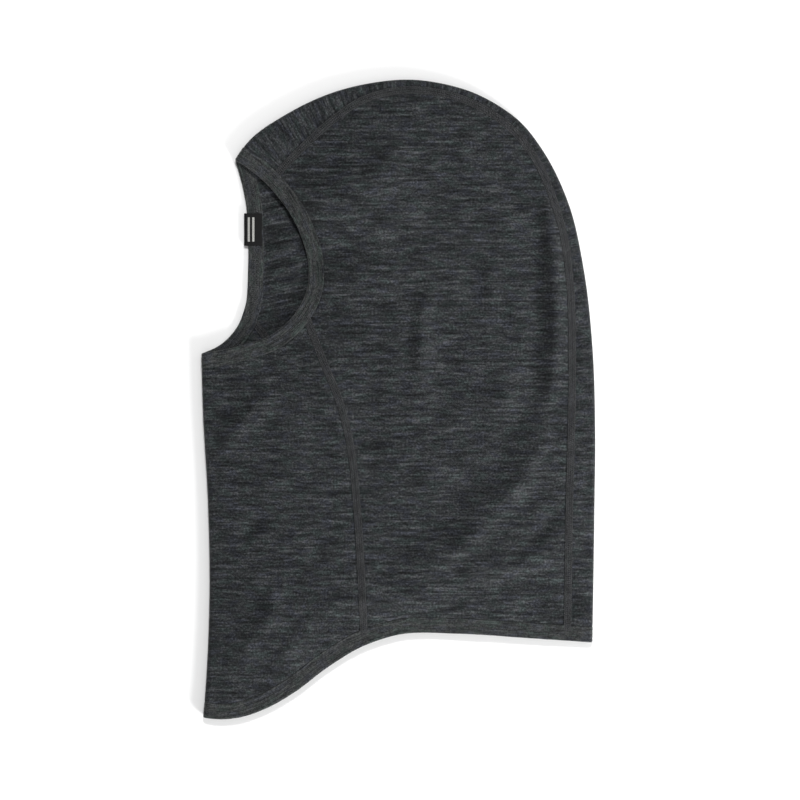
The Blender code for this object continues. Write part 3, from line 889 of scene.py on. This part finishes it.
def woven_tape():
    """Black damask label tape: fine ribs across it and two plain pale woven bars, no lettering."""
    material, tree, shader = new_material("black_damask_tape", 0.7, Specular_IOR_Level=0.2)
    tape_map = add_node(tree, "ShaderNodeUVMap", uv_map="cloth").outputs["UV"]
    split = add_node(tree, "ShaderNodeSeparateXYZ", links={"Vector": tape_map})
    across, along = split.outputs["X"], split.outputs["Y"]
    ribs = calc(tree, "SINE", calc(tree, "MULTIPLY", along, 2 * math.pi / TAPE_RIB))
    warps = calc(tree, "SINE", calc(tree, "MULTIPLY", across, 2 * math.pi / TAPE_RIB))
    weave = calc(tree, "MULTIPLY", ribs, warps)
    inside = calc(tree, "COMPARE", along, TAPE_BAR_MIDDLE, TAPE_BAR_LENGTH / 2)
    bars = calc(tree, "MAXIMUM", *(calc(tree, "COMPARE", across, middle, TAPE_BAR_WIDTH / 2)
                                   for middle in TAPE_BARS))
    bars = calc(tree, "MULTIPLY", bars, inside)
    fibre = noise_value(tree, tape_map, 0.9, 0.3, 2.0, 5.0)
    # The ribs' height is mixed into the black as well, darker in their grooves: painted shade, beside
    # the bump below.
    black = colour_steps(tree, summed(tree, ((fibre, 1.0), (weave, 0.08))),
                         ((0.34, "020203"), (0.50, "060607"), (0.66, "0e0e0f")))
    pale = colour_steps(tree, fibre, ((0.30, "7c7c7a"), (0.70, "b4b4b0")))
    colours = add_node(tree, "ShaderNodeMix", data_type="RGBA")
    for source, socket in ((bars, "Factor"), (black, COLOUR_A), (pale, COLOUR_B)):
        tree.links.new(source, colours.inputs[socket])
    tree.links.new(colours.outputs[COLOUR_OUT], shader.inputs["Base Color"])
    height = summed(tree, ((weave, 0.5), (bars, 0.6)))
    bump = add_node(tree, "ShaderNodeBump", links={"Height": height},
                    values={"Strength": 0.5, "Distance": 0.1 * MM})
    tree.links.new(bump.outputs["Normal"], shader.inputs["Normal"])
    return material


# ---------------------------------------------------------------------------------------------
# Pieces
# ---------------------------------------------------------------------------------------------
# Heather merino jersey: long pale and dark fibre streaks along the rows give the eye a marled
# charcoal, and the knit loops in relief give it a soft, matt, finely ribbed surface close to; their
# height also lightens the loops and darkens the gaps between them in the colour, as painted light and
# shade.
jersey = knitted_wool("heather_merino_jersey", 0.1, (
    (0.26, 22.0, 1.9, 2.0), (0.18, 8.0, 1.6, 2.0), (0.15, 16.0, 5.5, 2.0),
    (0.13, 3.4, 1.2, 1.0), (0.28, 1.2, 1.1, 1.0)), 0.016,
    ((0.39, "0b0c0d"), (0.45, "1b1d1f"), (0.50, "282a2c"), (0.55, "37393b"), (0.63, "525457")))
# Plain binding jersey: shorter, weaker streaks make the edge bands look an even, lighter grey.
binding_cloth = knitted_wool("plain_binding_jersey", 0.16, (
    (0.35, 10.0, 1.4, 2.0), (0.25, 3.0, 3.0, 2.0), (0.40, 1.1, 1.1, 1.0)), 0.012,
    ((0.40, "1e1f20"), (0.50, "313333"), (0.60, "474949")))
# Overlocked seam yarn: without the jersey's streaks, so the seams read as plain narrow bands
# between the marled panels.
seam_yarn = knitted_wool("overlocked_seam_yarn", 0.12, (
    (0.35, 6.0, 2.0, 2.0), (0.25, 3.0, 3.0, 2.0), (0.40, 1.1, 1.1, 1.0)), 0.012,
    ((0.40, "161718"), (0.50, "252627"), (0.60, "38393a")))
# Textured polyester thread: a faint shine and a mottle pick each stitch out from the wool.
thread_fibre = spun_thread()
# Black damask tape: a flat deep black with fine ribs, whose grooves are also darkened a little in the
# colour as painted shade, and two pale woven bars that stand out. The ribs are drawn coarser than a
# real tape's, so that they show.
label_tape = woven_tape()


def finish_piece(piece, material, node=None):
    piece.data.materials.append(material)
    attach(piece, "root")
    if node:
        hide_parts(node)
    return piece


# The last two numbers are each panel's faces along and across it.
side_left = make_side_panel("left_side_jersey", "crown_left", "bib_left", 300, 150)
side_right = make_side_panel("right_side_jersey", "crown_right", "bib_right", 220, 100)
strip = make_folded_panel("crown_strip_jersey", crown_fold, ("crown_right", "crown_left"),
                          -SEAM_GAP, 1.0, 420, 24)
bib = make_folded_panel("bib_jersey", front_fold, ("bib_right", "bib_left"),
                        SEAM_GAP, 0.0, 180, 80)
for piece, node in ((side_left, "side_panel_left"), (side_right, "side_panel_right"),
                    (strip, "crown_strip"), (bib, "bib_panel")):
    finish_piece(piece, jersey, node)

for part, upper_edge, lower_edge in (("face", near_edge, far_edge), ("hem", hem_edge, hem_edge)):
    ribbon = edge_ribbon(upper_edge, lower_edge)
    finish_piece(make_binding(part + "_edge_binding", ribbon, BAND_SPACING), binding_cloth,
                 part + "_binding")
    needles, loopers = make_coverstitch(part, ribbon)
    finish_piece(needles, thread_fibre, part + "_coverstitch")
    finish_piece(loopers, thread_fibre)
for seam in seams:
    part, side = seam.split("_")
    bed, needles, loopers = make_flatlock(seam)
    finish_piece(bed, seam_yarn, f"{part}_seam_{side}")
    finish_piece(needles, thread_fibre)
    finish_piece(loopers, thread_fibre)
finish_piece(make_label("woven_side_tab"), label_tape, "edge_label")

# ---------------------------------------------------------------------------------------------
# Floor, light and camera
# ---------------------------------------------------------------------------------------------
SKY_SIDE = (0.66, -0.62, 0.42)  # the sky is brighter on this side
SKY_DIM, SKY_BRIGHT = 0.06, 0.66
bpy.ops.mesh.primitive_plane_add(size=8.0, location=(0.0, 0.0, -0.0002))
floor = bpy.context.object
floor.name = "studio_floor"
# Matt white board: an even pale ground that takes a soft shadow and gives no gloss.
floor_white, _, floor_shader = new_material("matt_white_board", 1.0)
floor_shader.inputs["Base Color"].default_value = colour("f6f6f6")
floor_shader.inputs["Specular IOR Level"].default_value = 0.0
floor.data.materials.append(floor_white)

world = bpy.data.worlds.new("studio")
bpy.context.scene.world = world
world.use_nodes = True
sky = world.node_tree
toward = add_node(sky, "ShaderNodeVectorMath", operation="DOT_PRODUCT", values={1: SKY_SIDE},
                  links={0: add_node(sky, "ShaderNodeTexCoord").outputs["Generated"]})
glow = add_node(sky, "ShaderNodeMapRange", links={"Value": toward.outputs["Value"]},
                values={"From Min": -1.0, "From Max": 1.0, "To Min": SKY_DIM, "To Max": SKY_BRIGHT})
sky.links.new(glow.outputs["Result"], sky.nodes["Background"].inputs["Strength"])
sky.nodes["Background"].inputs["Color"].default_value = (1.0, 1.0, 1.0, 1.0)


def add_light(name, place, target, size, power):
    data = bpy.data.lights.new(name, "AREA")
    data.shape = "DISK"
    data.size = size
    data.energy = power
    lamp = bpy.data.objects.new(name, data)
    lamp.location = place
    lamp.rotation_euler = (Vector(target) - Vector(place)).to_track_quat("-Z", "Y").to_euler()
    bpy.context.scene.collection.objects.link(lamp)


add_light("top_softbox", (0.1, 1.17, 1.87), (0.0, 0.0, 0.0), 0.4, 31.0)
add_light("side_softbox", (1.45, -1.61, 0.79), (0.0, 0.0, 0.0), 0.8, 71.0)

camera_data = bpy.data.cameras.new("camera")
camera = bpy.data.objects.new("camera", camera_data)
bpy.context.scene.collection.objects.link(camera)
camera_data.sensor_width = 36.0
CAMERA_AIM = (0.0009, -0.0006)
CAMERA_HEIGHT = 3.0             # a long lens from well above, so the cloth is seen square on
VIEW_WIDTH = 0.496              # how much of the floor fits across the view
camera_data.lens = camera_data.sensor_width * CAMERA_HEIGHT / VIEW_WIDTH
camera.location = (*CAMERA_AIM, CAMERA_HEIGHT)
bpy.context.scene.camera = camera
bpy.context.scene.view_settings.view_transform = "Standard"
